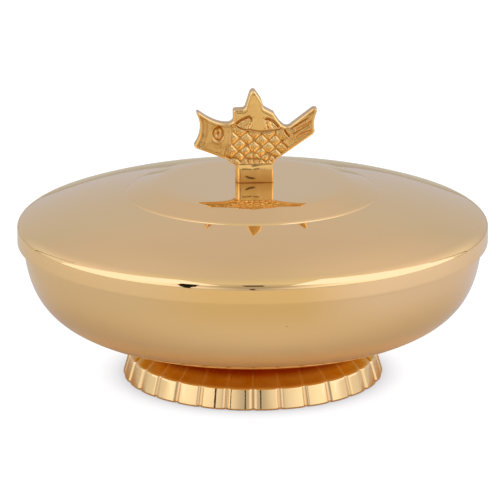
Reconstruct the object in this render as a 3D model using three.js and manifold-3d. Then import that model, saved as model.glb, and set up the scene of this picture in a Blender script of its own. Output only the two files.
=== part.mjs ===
// Ciborium: a shallow covered bowl for altar breads, spun in brass and gold plated.
// The bowl stands on a fluted ring foot. The lid lifts straight off by a cast fish.
// Millimetres, +Z up. The foot stands on z = 0, with the bowl's axis on the Z axis.
// The fish faces -Y, with its head towards -X.

import * as THREE from 'three';
import { mergeVertices } from 'three/addons/utils/BufferGeometryUtils.js';
import Module from 'manifold-3d';

const wasm = await Module();
wasm.setup();

// Sheet, clearances and facets
const SHEET = 1.2; // wall of the spun bowl and lid
const SEAT_GAP = 0.3; // between pieces that rest on or pass through each other
const SPIN_SIDES = 60; // facets round a spun shell
const ROD_SIDES = 24; // facets round studs and washers

// Foot
const FOOT_RADIUS = 47.2; // crest of the flutes at the hem
const FOOT_HEIGHT = 15.9;
const FOOT_WALL = 1.6;
const BAND_HEIGHT = 7.3; // fluted band, up to the edge where the slope starts
const BAND_UPRIGHT = 3.1; // lower part of the band, before it leans in
const BAND_LEAN = 2; // the band leans in by this much at its top
const NECK_RADIUS = 35; // where the slope meets the bowl
const HEM_ROUNDING = 0.5; // bottom edge of the band
const FLUTES = 30;
const FLUTE_DEPTH = 0.9; // crest to valley
const FLUTE_CROWN = 0.35; // how far a panel's edges drop below its crest
const VALLEY_WIDTH = 2.6; // V groove between two panels

// Bowl
const BOWL_HEIGHT = 41.2; // underside to rim
const BOWL_FLOOR_RADIUS = 31.5; // flat underside
const BOWL_TURN_RADIUS = 70.7; // pulls the underside's curve outwards
const BOWL_TURN_RISE = 1.2;
const BOWL_WALL_PULL = 28.3; // pulls the wall's curve down from the rim bead
const BOWL_WALL_DRAFT = 0.8;
const RIM_BEAD = 1.4; // radius of the rolled rim
const RIM_ROLL = 260; // degrees that the rim is rolled round, from the outside over the top
const SKIRT_PLAY = 0.7; // between the lid's skirt and the bowl's wall

// Lid
const LID_RADIUS = 85;
const SKIRT_HEIGHT = 5.1; // upright part of the skirt
const SHOULDER_WIDTH = 2.4; // rounded turn from skirt to cone
const SHOULDER_RISE = 3.04;
const CONE_RISE = 9.46;
const CONE_OUTER_PULL = [0.325, 0.47]; // bends the cone's curve, in shares of its width and rise
const CONE_INNER_PULL = [0.49, 0.34];
const STEP_RADIUS = 45.7; // root of the raised step
const LIP_WIDTH = 0.3; // steep edge of the step
const LIP_RISE = 0.35;
const SHELF_WIDTH = 9.6; // gentle slope inside the lip
const SHELF_RISE = 2.75;
const BEND_WIDTH = 9.8; // soft turn from the shelf to the flat top
const BEND_RISE = 0.74;

// Fasteners
const BOWL_STUD_RADIUS = 2.5;
const FINIAL_STUD_RADIUS = 1.5;
const STUD_END = 1.2; // thread that shows past a nut
const FINIAL_STUD_REACH = 6; // depth of thread in the finial
const FOOT_WASHER = { radius: 10, thickness: 1 };
const FOOT_NUT = { flats: 8, height: 4 };
const LID_WASHER = { radius: 5, thickness: 0.8 };
const LID_NUT = { flats: 5.5, height: 2.4 };

// Finial
const FINIAL_TURN = 3; // degrees that the fish is turned about the stud
const POST_LEFT = 6.7; // from the stud's axis
const POST_RIGHT = 7.9;
const POST_HEIGHT = 6.5;
const POST_THICKNESS = 5.2;
const POST_ROUNDING = 1.2;
const FISH_LENGTH = 44; // mouth to tail
const FISH_THICKNESS = 5.4;
const FISH_BEVEL = 0.35;
const LOAF_THICKNESS = 6; // the raised loaf with its flame, on both faces
const LOBE_DEPTH = 0.7;
const EYE_HEIGHT = 0.4; // above the fish's face
const EYE_RADIUS = 1.9;
const EYE_STRETCH = 1.25; // the eye is taller than wide
const PUPIL_RADIUS = 0.7;
const GROOVE = 0.45; // half width and depth of the cut lines
const SCALE_PITCH = 3.75;
const SCALE_TILT = 8; // degrees that the scales' diamonds lean
const SCALE_ORIGIN = [-1.9, 9.3]; // middle of one scale, drawn from the fish's underside

// Heights that follow from the sizes above
const RIM_Z = FOOT_HEIGHT + BOWL_HEIGHT;
const BEAD_MIDDLE_Z = RIM_Z - RIM_BEAD;
const BOWL_RIM_RADIUS = LID_RADIUS - SHEET - SKIRT_PLAY;
const SHOULDER_RADIUS = LID_RADIUS - SHOULDER_WIDTH;

function quadratic(a, b, c, steps) {
  return new THREE.QuadraticBezierCurve(a, b, c).getPoints(steps);
}

function arc(middle, radius, from, to, steps) {
  const points = [];
  for (let i = 0; i <= steps; i += 1) {
    const angle = THREE.MathUtils.degToRad(from + ((to - from) * i) / steps);
    points.push(new THREE.Vector2(middle.x + radius * Math.cos(angle), middle.y + radius * Math.sin(angle)));
  }
  return points;
}

// Shifts an open profile to its left by a distance, mitred at each point.
function shifted(points, distance) {
  const edges = points.slice(1).map((p, i) => p.clone().sub(points[i]).normalize());
  return points.map((p, i) => {
    const before = edges[Math.max(i - 1, 0)];
    const after = edges[Math.min(i, edges.length - 1)];
    const along = before.clone().add(after).normalize();
    const reach = distance / along.dot(before);
    return new THREE.Vector2(p.x - along.y * reach, p.y + along.x * reach);
  });
}

// A solid of revolution about the Z axis from a profile of (radius, height) points.
function spun(profile, sides = SPIN_SIDES) {
  const points = profile.map((p) => new THREE.Vector2(p.x, p.y));
  if (points[0].x > 0) points.push(points[0].clone());
  return new THREE.LatheGeometry(points, sides).rotateX(Math.PI / 2);
}

function ring(inner, outer, low, high) {
  const corners = [[inner, low], [outer, low], [outer, high], [inner, high]];
  return spun(corners.map(([r, z]) => new THREE.Vector2(r, z)), ROD_SIDES);
}

function rod(radius, low, high) {
  const corners = [[0, low], [radius, low], [radius, high], [0, high]];
  return spun(corners.map(([r, z]) => new THREE.Vector2(r, z)), ROD_SIDES);
}

function hexNut(nut, bore, low) {
  const corner = nut.flats / Math.sqrt(3);
  const outline = new THREE.Shape();
  for (let i = 0; i < 6; i += 1) {
    const angle = (i * Math.PI) / 3;
    outline[i ? 'lineTo' : 'moveTo'](corner * Math.cos(angle), corner * Math.sin(angle));
  }
  outline.closePath();
  outline.holes.push(new THREE.Path().absarc(0, 0, bore, 0, 2 * Math.PI, true));
  const solid = new THREE.ExtrudeGeometry(outline, {
    depth: nut.height,
    bevelEnabled: false,
    curveSegments: ROD_SIDES / 2,
  });
  return solid.translate(0, 0, low);
}

// Bowl

function bowlUnderside() {
  const wallTop = new THREE.Vector2(BOWL_RIM_RADIUS, BEAD_MIDDLE_Z - RIM_BEAD);
  const wallLow = new THREE.Vector2(BOWL_RIM_RADIUS - BOWL_WALL_DRAFT, wallTop.y - BOWL_WALL_PULL);
  const turn = new THREE.Vector2(BOWL_TURN_RADIUS, FOOT_HEIGHT + BOWL_TURN_RISE);
  const floorEdge = new THREE.Vector2(BOWL_FLOOR_RADIUS, FOOT_HEIGHT);
  return new THREE.CubicBezierCurve(floorEdge, turn, wallLow, wallTop).getPoints(9);
}

function bowlShell() {
  const outside = [new THREE.Vector2(0, FOOT_HEIGHT), ...bowlUnderside()];
  const beadMiddle = new THREE.Vector2(BOWL_RIM_RADIUS - RIM_BEAD, BEAD_MIDDLE_Z);
  const bead = arc(beadMiddle, RIM_BEAD, 0, RIM_ROLL, 8);
  const inside = shifted(outside, SHEET).reverse();
  inside[inside.length - 1].x = 0;
  return spun([...outside, ...bead, ...inside]);
}

function bowlStud() {
  const low = FOOT_HEIGHT - FOOT_WALL - FOOT_WASHER.thickness - FOOT_NUT.height - STUD_END;
  return rod(BOWL_STUD_RADIUS, low, FOOT_HEIGHT);
}

// Foot

// Points of the crest from the hem up to the neck, each with the flutes' depth there.
function footCrest() {
  const hemTop = new THREE.Vector2(FOOT_RADIUS, HEM_ROUNDING);
  const knee = new THREE.Vector2(FOOT_RADIUS, BAND_UPRIGHT);
  const bandTop = new THREE.Vector2(FOOT_RADIUS - BAND_LEAN, BAND_HEIGHT);
  return [
    new THREE.Vector2(FOOT_RADIUS - HEM_ROUNDING, 0),
    ...quadratic(hemTop, knee, bandTop, 5),
    new THREE.Vector2(NECK_RADIUS, FOOT_HEIGHT),
  ];
}

function footRing() {
  const crest = footCrest();
  const inside = shifted(crest, FOOT_WALL + FLUTE_DEPTH).reverse();
  const webUnder = FOOT_HEIGHT - FOOT_WALL;
  const hole = BOWL_STUD_RADIUS + SEAT_GAP;
  const slope = inside[0].clone().sub(inside[1]);
  const webEdge = inside[1].clone().addScaledVector(slope, (webUnder - inside[1].y) / slope.y);
  inside[inside.length - 1].y = 0;
  const rows = [
    ...crest.map((p, i) => [p.x, p.y, i === crest.length - 1 ? 0 : FLUTE_DEPTH]),
    [hole, FOOT_HEIGHT, 0],
    [hole, webUnder, 0],
    [webEdge.x, webUnder, 0],
    ...inside.slice(1).map((p) => [p.x, p.y, 0]),
  ];
  const pitch = (2 * Math.PI) / FLUTES;
  const valleyEdge = VALLEY_WIDTH / 2 / (FOOT_RADIUS * pitch);
  const section = [
    [0, 1],
    [valleyEdge, FLUTE_CROWN / FLUTE_DEPTH],
    [0.5, 0],
    [1 - valleyEdge, FLUTE_CROWN / FLUTE_DEPTH],
  ];
  const columns = FLUTES * section.length;
  const positions = [];
  for (let i = 0; i < columns; i += 1) {
    const [share, drop] = section[i % section.length];
    const angle = (Math.floor(i / section.length) + share) * pitch - Math.PI / 2;
    rows.forEach(([radius, z, depth]) => {
      const r = radius - depth * drop;
      positions.push(r * Math.cos(angle), r * Math.sin(angle), z);
    });
  }
  const index = [];
  for (let i = 0; i < columns; i += 1) {
    const next = (i + 1) % columns;
    for (let j = 0; j < rows.length; j += 1) {
      const up = (j + 1) % rows.length;
      const corners = [i, next].map((c) => [c * rows.length + j, c * rows.length + up]);
      index.push(corners[0][0], corners[1][0], corners[1][1]);
      index.push(corners[0][0], corners[1][1], corners[0][1]);
    }
  }
  const geometry = new THREE.BufferGeometry();
  geometry.setAttribute('position', new THREE.Float32BufferAttribute(positions, 3));
  geometry.setIndex(index);
  return geometry;
}

// Lid, drawn from its skirt's lower edge

function lidOutside() {
  const shoulderRoot = new THREE.Vector2(LID_RADIUS, SKIRT_HEIGHT);
  const shoulderTop = new THREE.Vector2(SHOULDER_RADIUS, SKIRT_HEIGHT + SHOULDER_RISE);
  const coneEnd = new THREE.Vector2(STEP_RADIUS, shoulderTop.y + CONE_RISE);
  const coneWidth = SHOULDER_RADIUS - STEP_RADIUS;
  const outerPull = new THREE.Vector2(-CONE_OUTER_PULL[0] * coneWidth, CONE_OUTER_PULL[1] * CONE_RISE);
  const innerPull = new THREE.Vector2(CONE_INNER_PULL[0] * coneWidth, -CONE_INNER_PULL[1] * CONE_RISE);
  const cone = new THREE.CubicBezierCurve(
    shoulderTop,
    outerPull.clone().add(shoulderTop),
    innerPull.clone().add(coneEnd),
    coneEnd,
  );
  const shoulderDrop = (SHOULDER_WIDTH * outerPull.y) / -outerPull.x;
  const shoulderCorner = new THREE.Vector2(LID_RADIUS, shoulderTop.y - shoulderDrop);
  const lipTop = new THREE.Vector2(STEP_RADIUS - LIP_WIDTH, coneEnd.y + LIP_RISE);
  const shelfTop = new THREE.Vector2(lipTop.x - SHELF_WIDTH, lipTop.y + SHELF_RISE);
  const flatEdge = new THREE.Vector2(shelfTop.x - BEND_WIDTH, shelfTop.y + BEND_RISE);
  const bendCorner = shelfTop.clone().lerp(lipTop, -BEND_RISE / SHELF_RISE);
  const hole = new THREE.Vector2(FINIAL_STUD_RADIUS + SEAT_GAP, flatEdge.y);
  return [
    new THREE.Vector2(LID_RADIUS, 0),
    ...quadratic(shoulderRoot, shoulderCorner, shoulderTop, 4),
    ...cone.getPoints(6).slice(1),
    lipTop,
    ...quadratic(shelfTop, bendCorner, flatEdge, 3),
    hole,
  ];
}

function lidProfile() {
  const outside = lidOutside();
  return { outside, inside: shifted(outside, SHEET) };
}

// Height of a profile's line at a radius.
function heightAt(profile, radius) {
  const i = profile.findIndex((p, k) => k > 0 && p.x <= radius && profile[k - 1].x > radius);
  const share = (profile[i - 1].x - radius) / (profile[i - 1].x - profile[i].x);
  return THREE.MathUtils.lerp(profile[i - 1].y, profile[i].y, share);
}

const lidLines = lidProfile();
const LID_Z = RIM_Z + SEAT_GAP - heightAt(lidLines.inside, BOWL_RIM_RADIUS - RIM_BEAD);
const LID_TOP_Z = LID_Z + lidLines.outside.at(-1).y;
const LID_UNDERSIDE_Z = LID_TOP_Z - SHEET;

function lidShell() {
  return spun([...lidLines.outside, ...lidLines.inside.slice().reverse()]).translate(0, 0, LID_Z);
}

function finialStud() {
  const low = LID_UNDERSIDE_Z - LID_WASHER.thickness - LID_NUT.height - STUD_END;
  return rod(FINIAL_STUD_RADIUS, low, LID_TOP_Z + FINIAL_STUD_REACH);
}

// Finial, drawn in the XZ plane as (x, height) with the stud's axis at x = 0

const FISH_SCALE = FISH_LENGTH / 44; // its outline is drawn 44 long

// A drawn point of the fish, measured from the fish's underside.
function drawn(x, z) {
  return [x * FISH_SCALE, POST_HEIGHT + z * FISH_SCALE];
}

function shapeOf(start, ...curves) {
  const shape = new THREE.Shape();
  shape.moveTo(...drawn(...start));
  curves.forEach((c) => {
    if (c.length === 2) shape.lineTo(...drawn(...c));
    else shape.quadraticCurveTo(...drawn(c[0], c[1]), ...drawn(c[2], c[3]));
  });
  return shape;
}

function fishOutline() {
  return shapeOf(
    [-POST_LEFT / FISH_SCALE, 0],
    [POST_RIGHT / FISH_SCALE - 0.5, 0],
    [8.1, 1.4],
    [21.3, 10.6],
    [22.6, 11.5, 22.2, 13.2],
    [21.7, 15.9, 23.1, 19.2],
    [23.5, 20.7, 22.4, 20.8],
    [21.8, 20.9, 21, 20.3],
    [14.2, 15.1],
    [13.2, 14.1, 12.1, 14.2],
    [10.5, 14.4, 8.4, 17.8],
    [7.6, 19.3],
    [4.7, 20.9],
    [4, 21.2, 3.7, 22.3],
    [3.5, 24, 1.6, 26.5],
    [0.3, 28.9, -1, 26.8],
    [-2.5, 22],
    [-2.8, 21, -3.6, 20.9],
    [-6.1, 20.8],
    [-7, 20.7, -7, 19.9],
    [-7, 17.2],
    [-7.2, 15.9, -8.7, 15.7],
    [-13.1, 15.3, -19.3, 20],
    [-20.4, 20.4, -20.1, 19],
    [-17.3, 13.4, -20.8, 8],
    [-21.4, 6.9, -20.1, 6.2],
    [-9.6, 2.1],
  );
}

function loafOutline() {
  return shapeOf(
    [-6.3, 13.9],
    [-2.6, 12.9, 1.4, 12.4],
    [5.6, 12.4, 9.8, 13.2],
    [7.5, 17.5],
    [6.7, 18.7],
    [4.3, 20],
    [3, 20.5, 2.7, 21.5],
    [1, 25.4],
    [0.1, 26.7, -0.6, 25.6],
    [-1.7, 21.9],
    [-2.1, 20.1, -3.4, 20.1],
    [-6.1, 19.9],
  );
}

function lobeOutlines() {
  const left = shapeOf([-5.6, 14.6], [-4.6, 17.1, -0.6, 17.4], [-1.5, 13.4], [-3.6, 13, -5.6, 14.6]);
  const right = shapeOf([4.5, 17], [8.3, 16.6, 8.9, 13.6], [7, 12.7, 5, 12.9]);
  return [left, right];
}

function solidOf(geometry) {
  const bare = geometry.clone();
  bare.deleteAttribute('normal');
  bare.deleteAttribute('uv');
  const merged = mergeVertices(bare, 1e-5);
  const vertProperties = new Float32Array(merged.attributes.position.array);
  const triVerts = new Uint32Array(merged.index.array);
  return new wasm.Manifold(new wasm.Mesh({ numProp: 3, vertProperties, triVerts }));
}

function geometryOf(solid) {
  const mesh = solid.getMesh();
  const geometry = new THREE.BufferGeometry();
  geometry.setAttribute('position', new THREE.BufferAttribute(mesh.vertProperties, 3));
  geometry.setIndex(new THREE.BufferAttribute(mesh.triVerts, 1));
  return geometry;
}

// A slab of an outline drawn in the XZ plane, between two depths along Y.
function slab(outline, from, to, bevel = 0) {
  const solid = new THREE.ExtrudeGeometry(outline, {
    depth: to - from - 2 * bevel,
    bevelEnabled: bevel > 0,
    bevelThickness: bevel,
    bevelSize: bevel,
    bevelOffset: -bevel,
    bevelSegments: 1,
    curveSegments: 4,
  });
  return solidOf(solid.translate(0, 0, from + bevel).rotateX(Math.PI / 2));
}

function plate(outline, thickness, bevel = 0) {
  return slab(outline, -thickness / 2, thickness / 2, bevel);
}

// A cut line of V section along drawn points, on both faces of the fish.
function cutLine(points) {
  const section = new THREE.Shape();
  section.moveTo(GROOVE, 0);
  section.lineTo(0, GROOVE);
  section.lineTo(-GROOVE, 0);
  section.lineTo(0, -GROOVE);
  section.closePath();
  const faces = [-1, 1].map((side) => {
    const at = ([x, z]) => new THREE.Vector3(x, (side * FISH_THICKNESS) / 2, z);
    const places = points.map((p) => at(drawn(...p)));
    const straight = places.length === 2;
    const path = straight ? new THREE.LineCurve3(...places) : new THREE.CatmullRomCurve3(places);
    const steps = straight ? 1 : 4 * (places.length - 1);
    return solidOf(new THREE.ExtrudeGeometry(section, { steps, bevelEnabled: false, extrudePath: path }));
  });
  return faces[0].add(faces[1]);
}

function joined(solids) {
  return solids.reduce((whole, next) => whole.add(next));
}

// Diamond scales between the gill and the tail, parted by two sets of cut lines.
function scaleLines() {
  const region = plate(
    shapeOf([-7.5, 12.8], [-8.1, 8.5, -9.2, 4.3], [-6.2, 0.6], [6.5, 0.3], [12.4, 5.8], [13.2, 9.1], [11.6, 12],
      [2, 10.3, -7.5, 12.8]),
    FISH_THICKNESS + 1,
  );
  const reach = 5;
  const lines = [];
  [45 - SCALE_TILT, -45 - SCALE_TILT].forEach((degrees) => {
    const angle = THREE.MathUtils.degToRad(degrees);
    const along = [Math.cos(angle), Math.sin(angle)];
    const across = [-along[1], along[0]];
    for (let k = -reach; k < reach; k += 1) {
      const offset = (k + 0.5) * SCALE_PITCH;
      const middle = [SCALE_ORIGIN[0] + across[0] * offset, SCALE_ORIGIN[1] + across[1] * offset];
      const half = reach * SCALE_PITCH;
      const ends = [-half, half].map((d) => [middle[0] + along[0] * d, middle[1] + along[1] * d]);
      lines.push(cutLine(ends));
    }
  });
  return joined(lines).intersect(region);
}

function eye() {
  const middle = drawn(-12.7, 11.1);
  const outline = new THREE.Shape();
  outline.absellipse(...middle, EYE_RADIUS, EYE_RADIUS * EYE_STRETCH, 0, 2 * Math.PI);
  const socket = new THREE.Shape();
  socket.absellipse(...middle, EYE_RADIUS + GROOVE, EYE_RADIUS * EYE_STRETCH + GROOVE, 0, 2 * Math.PI);
  const pupil = new THREE.Shape();
  pupil.absarc(...middle, PUPIL_RADIUS, 0, 2 * Math.PI);
  return {
    socket: plate(socket, FISH_THICKNESS + 1).subtract(plate(socket, FISH_THICKNESS - 2 * GROOVE)),
    ball: plate(outline, FISH_THICKNESS + 2 * EYE_HEIGHT),
    pupil: plate(pupil, FISH_THICKNESS + 1).subtract(plate(pupil, FISH_THICKNESS - 2 * GROOVE)),
  };
}

function post() {
  const w = POST_LEFT + POST_RIGHT;
  const t = POST_THICKNESS;
  const r = POST_ROUNDING;
  const section = new THREE.Shape();
  section.moveTo(r, 0);
  section.lineTo(w - r, 0);
  section.quadraticCurveTo(w, 0, w, r);
  section.lineTo(w, t - r);
  section.quadraticCurveTo(w, t, w - r, t);
  section.lineTo(r, t);
  section.quadraticCurveTo(0, t, 0, t - r);
  section.lineTo(0, r);
  section.quadraticCurveTo(0, 0, r, 0);
  const solid = new THREE.ExtrudeGeometry(section, {
    depth: POST_HEIGHT + GROOVE,
    bevelEnabled: false,
    curveSegments: 3,
  });
  return solidOf(solid.translate(-POST_LEFT, -t / 2, 0));
}

function finial() {
  const gill = cutLine([[-7.8, 13.6], [-8.2, 9.7], [-9.6, 3.9]]);
  const lip = cutLine([[-18.5, 18], [-16.7, 13.3], [-18.6, 8.2]]);
  const tailRoot = cutLine([[11.6, 12.2], [13.4, 9.3], [14.2, 7.4]]);
  const ribs = [
    [[14.1, 12.8], [21.4, 18.1]],
    [[14.6, 11.8], [21.3, 15.6]],
    [[15.1, 10.7], [21.3, 13.7]],
    [[15.4, 9.6], [21, 11.8]],
  ].map((ends) => cutLine(ends));
  const eyeParts = eye();
  const lobes = lobeOutlines().map((outline) =>
    plate(outline, LOAF_THICKNESS + 1).subtract(plate(outline, LOAF_THICKNESS - 2 * LOBE_DEPTH)),
  );
  const bore = solidOf(rod(FINIAL_STUD_RADIUS + SEAT_GAP, -1, FINIAL_STUD_REACH + SEAT_GAP));
  const body = plate(fishOutline(), FISH_THICKNESS, FISH_BEVEL)
    .subtract(joined([gill, lip, tailRoot, scaleLines(), eyeParts.socket, ...ribs]))
    .add(plate(loafOutline(), LOAF_THICKNESS))
    .subtract(joined(lobes))
    .add(eyeParts.ball)
    .subtract(eyeParts.pupil)
    .add(post())
    .subtract(bore);
  return geometryOf(body);
}

// Assembly

const gold = { metalness: 1, roughness: 0.12 };
const finishes = {
  shell: new THREE.MeshStandardMaterial({ color: 0xd9b070, ...gold }),
  cast: new THREE.MeshStandardMaterial({ color: 0xd8a24c, metalness: 1, roughness: 0.3 }),
  steel: new THREE.MeshStandardMaterial({ color: 0xc9a765, metalness: 1, roughness: 0.35 }),
};

function piece(name, geometry, finish) {
  const mesh = new THREE.Mesh(geometry, finishes[finish].clone());
  mesh.name = name;
  return mesh;
}

const footBore = BOWL_STUD_RADIUS + SEAT_GAP;
const footWasherTop = FOOT_HEIGHT - FOOT_WALL;
const footNutTop = footWasherTop - FOOT_WASHER.thickness;
const lidBore = FINIAL_STUD_RADIUS + SEAT_GAP;
const lidNutTop = LID_UNDERSIDE_Z - LID_WASHER.thickness;

const bowl = new THREE.Group();
bowl.add(piece('bowl_shell', bowlShell(), 'shell'));
bowl.add(piece('foot_ring', footRing(), 'shell'));
bowl.add(piece('bowl_stud', bowlStud(), 'steel'));
bowl.add(piece('foot_washer', ring(footBore, FOOT_WASHER.radius, footNutTop, footWasherTop), 'steel'));
bowl.add(piece('foot_nut', hexNut(FOOT_NUT, footBore, footNutTop - FOOT_NUT.height), 'steel'));

const lid = new THREE.Group();
lid.add(piece('lid_shell', lidShell(), 'shell'));
lid.add(piece('finial_stud', finialStud(), 'steel'));
lid.add(piece('lid_washer', ring(lidBore, LID_WASHER.radius, lidNutTop, LID_UNDERSIDE_Z), 'steel'));
lid.add(piece('lid_nut', hexNut(LID_NUT, lidBore, lidNutTop - LID_NUT.height), 'steel'));

const fish = piece('finial_fish', finial(), 'cast');
fish.position.z = LID_TOP_Z;
fish.rotation.z = THREE.MathUtils.degToRad(FINIAL_TURN);
lid.add(fish);

const ciborium = new THREE.Group();
ciborium.add(bowl, lid);

export default ciborium;
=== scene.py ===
import math

import bpy
import numpy as np
from mathutils import Matrix, Vector
from mathutils.geometry import delaunay_2d_cdt


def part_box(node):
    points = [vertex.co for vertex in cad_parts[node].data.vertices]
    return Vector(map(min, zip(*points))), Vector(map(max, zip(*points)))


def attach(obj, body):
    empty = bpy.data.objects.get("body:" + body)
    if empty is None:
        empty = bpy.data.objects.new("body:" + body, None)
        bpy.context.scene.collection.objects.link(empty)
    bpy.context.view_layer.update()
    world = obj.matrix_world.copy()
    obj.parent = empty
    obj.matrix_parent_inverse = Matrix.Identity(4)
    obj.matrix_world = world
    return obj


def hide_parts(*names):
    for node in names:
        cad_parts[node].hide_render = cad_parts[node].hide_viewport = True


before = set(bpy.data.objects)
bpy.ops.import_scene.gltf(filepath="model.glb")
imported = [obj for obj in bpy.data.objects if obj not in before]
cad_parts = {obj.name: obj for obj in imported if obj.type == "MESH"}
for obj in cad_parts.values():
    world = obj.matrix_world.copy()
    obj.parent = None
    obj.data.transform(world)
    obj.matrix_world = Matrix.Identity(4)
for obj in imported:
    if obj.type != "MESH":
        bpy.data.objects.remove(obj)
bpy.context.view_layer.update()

# Ciborium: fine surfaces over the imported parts, and the studio around it.
# Shapes are in millimetres, in the part's own frame, and become metres as meshes are made.

MM = 0.001
SHEET = 1.2


def low(node):
    return np.array(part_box(node)[0]) / MM


def high(node):
    return np.array(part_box(node)[1]) / MM


# Meshes

def new_piece(name, verts, faces, material, body, slot, nodes):
    """A smooth-shaded piece that rides a body and stands for nodes of the part."""
    mesh = bpy.data.meshes.new(name)
    mesh.from_pydata([tuple(v) for v in (np.asarray(verts, float) * MM)], [], faces)
    mesh.polygons.foreach_set("use_smooth", [True] * len(mesh.polygons))
    mesh.materials.append(material)
    mesh.update()
    piece = bpy.data.objects.new(name, mesh)
    bpy.context.scene.collection.objects.link(piece)
    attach(piece, body)
    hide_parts(*nodes)
    return piece


def set_float(piece, name, values):
    attribute = piece.data.attributes.new(name, "FLOAT", "POINT")
    attribute.data.foreach_set("value", np.asarray(values, np.float32))


def spin(profile, sides):
    """Vertices and faces of a closed profile of (radius, height) points turned about Z."""
    verts, rows = [], []
    for r, z in profile:
        if r < 1e-6:
            rows.append([len(verts)] * sides)
            verts.append((0.0, 0.0, z))
        else:
            rows.append(list(range(len(verts), len(verts) + sides)))
            for i in range(sides):
                a = 2 * math.pi * i / sides
                verts.append((r * math.cos(a), r * math.sin(a), z))
    closed = profile[0][0] > 1e-6
    faces = []
    count = len(rows)
    for j in range(count if closed else count - 1):
        a, b = rows[j], rows[(j + 1) % count]
        for i in range(sides):
            n = (i + 1) % sides
            quad = [a[i], a[n], b[n], b[i]]
            face = [v for k, v in enumerate(quad) if v not in quad[:k]]
            if len(face) > 2:
                faces.append(face)
    return verts, faces


def ring_faces(rings, sides, closed=False):
    """Quads between rings of vertices that are stored one after another."""
    faces = []
    for j in range(rings if closed else rings - 1):
        a, b = j * sides, (j + 1) % rings * sides
        for i in range(sides):
            n = (i + 1) % sides
            faces.append((a + i, a + n, b + n, b + i))
    return faces


def capped(faces, rings, sides):
    """The quads between rings, and a flat face on the first and last ring."""
    first = tuple(range(sides))[::-1]
    last = tuple(range((rings - 1) * sides, rings * sides))
    return [*faces, first, last]


def bezier(points, steps):
    p = np.array(points, float)
    t = np.linspace(0, 1, steps + 1)[:, None]
    if len(p) == 3:
        return (1 - t) ** 2 * p[0] + 2 * t * (1 - t) * p[1] + t**2 * p[2]
    return (1 - t) ** 3 * p[0] + 3 * t * (1 - t) ** 2 * p[1] + 3 * t**2 * (1 - t) * p[2] + t**3 * p[3]


def arc(middle, radius, start, end, steps):
    a = np.radians(np.linspace(start, end, steps + 1))
    return np.stack([middle[0] + radius * np.cos(a), middle[1] + radius * np.sin(a)], 1)


def joined(*runs):
    """One line from several runs of points, without points that lie on one another."""
    points = [tuple(p) for run in runs for p in np.atleast_2d(run)]
    kept = [points[0]]
    for p in points[1:]:
        if math.dist(p, kept[-1]) > 1e-4:
            kept.append(p)
    return np.array(kept)


def resampled(line, step):
    """Points along an open line no further apart than step, with all its own points kept."""
    out = [line[0]]
    for a, b in zip(line[:-1], line[1:]):
        n = max(1, int(math.ceil(math.dist(a, b) / step)))
        out.extend(a + (b - a) * k / n for k in range(1, n + 1))
    return np.array(out)


def shifted(line, distance):
    """An open line moved to its left by a distance."""
    edges = np.diff(line, axis=0)
    edges /= np.linalg.norm(edges, axis=1)[:, None]
    before = np.vstack([edges[:1], edges])
    after = np.vstack([edges, edges[-1:]])
    along = before + after
    along /= np.linalg.norm(along, axis=1)[:, None]
    reach = distance / np.sum(along * before, axis=1)
    return line + np.stack([-along[:, 1], along[:, 0]], 1) * reach[:, None]


def smoothstep(low_edge, high_edge, value):
    t = np.clip((value - low_edge) / (high_edge - low_edge), 0, 1)
    return t * t * (3 - 2 * t)


def bell(distance, width):
    """One at no distance, falling away over the width."""
    return np.exp(-((distance / width) ** 2))


# Materials

def material(name):
    m = bpy.data.materials.new(name)
    m.use_nodes = True
    m.node_tree.nodes.clear()
    return m, m.node_tree


def feed(tree, socket, value):
    """Set a socket to a constant, or link a node's output to it."""
    if isinstance(value, (int, float, tuple)):
        socket.default_value = value
    else:
        tree.links.new(value, socket)


def math_node(tree, operation, a, b=None, clamp=False):
    n = tree.nodes.new("ShaderNodeMath")
    n.operation = operation
    n.use_clamp = clamp
    feed(tree, n.inputs[0], a)
    if b is not None:
        feed(tree, n.inputs[1], b)
    return n.outputs[0]


def map_range(tree, value, from_low, from_high, to_low, to_high, smooth=False):
    n = tree.nodes.new("ShaderNodeMapRange")
    n.interpolation_type = "SMOOTHSTEP" if smooth else "LINEAR"
    tree.links.new(value, n.inputs["Value"])
    for key, v in (("From Min", from_low), ("From Max", from_high), ("To Min", to_low), ("To Max", to_high)):
        n.inputs[key].default_value = v
    return n.outputs["Result"]


def mix_colour(tree, share, a, b):
    n = tree.nodes.new("ShaderNodeMix")
    n.data_type = "RGBA"
    for key, value in (("Factor", share), ("A", a), ("B", b)):
        feed(tree, n.inputs[key], value)
    return n.outputs["Result"]


def scaled_colour(tree, colour, factor):
    n = tree.nodes.new("ShaderNodeVectorMath")
    n.operation = "SCALE"
    tree.links.new(colour, n.inputs[0])
    tree.links.new(factor, n.inputs["Scale"])
    return n.outputs["Vector"]


def noise(tree, vector, scale, detail=2.0, roughness=0.5):
    n = tree.nodes.new("ShaderNodeTexNoise")
    n.inputs["Scale"].default_value = scale
    n.inputs["Detail"].default_value = detail
    n.inputs["Roughness"].default_value = roughness
    tree.links.new(vector, n.inputs["Vector"])
    return n.outputs["Fac"]


def attribute(tree, name):
    n = tree.nodes.new("ShaderNodeAttribute")
    n.attribute_name = name
    return n.outputs["Fac"]


def split_place(tree, where):
    """The parts of a position, and its distance from the Z axis."""
    split = tree.nodes.new("ShaderNodeSeparateXYZ")
    tree.links.new(where, split.inputs[0])
    x2 = math_node(tree, "MULTIPLY", split.outputs[0], split.outputs[0])
    y2 = math_node(tree, "MULTIPLY", split.outputs[1], split.outputs[1])
    return split.outputs, math_node(tree, "SQRT", math_node(tree, "ADD", x2, y2))


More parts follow.
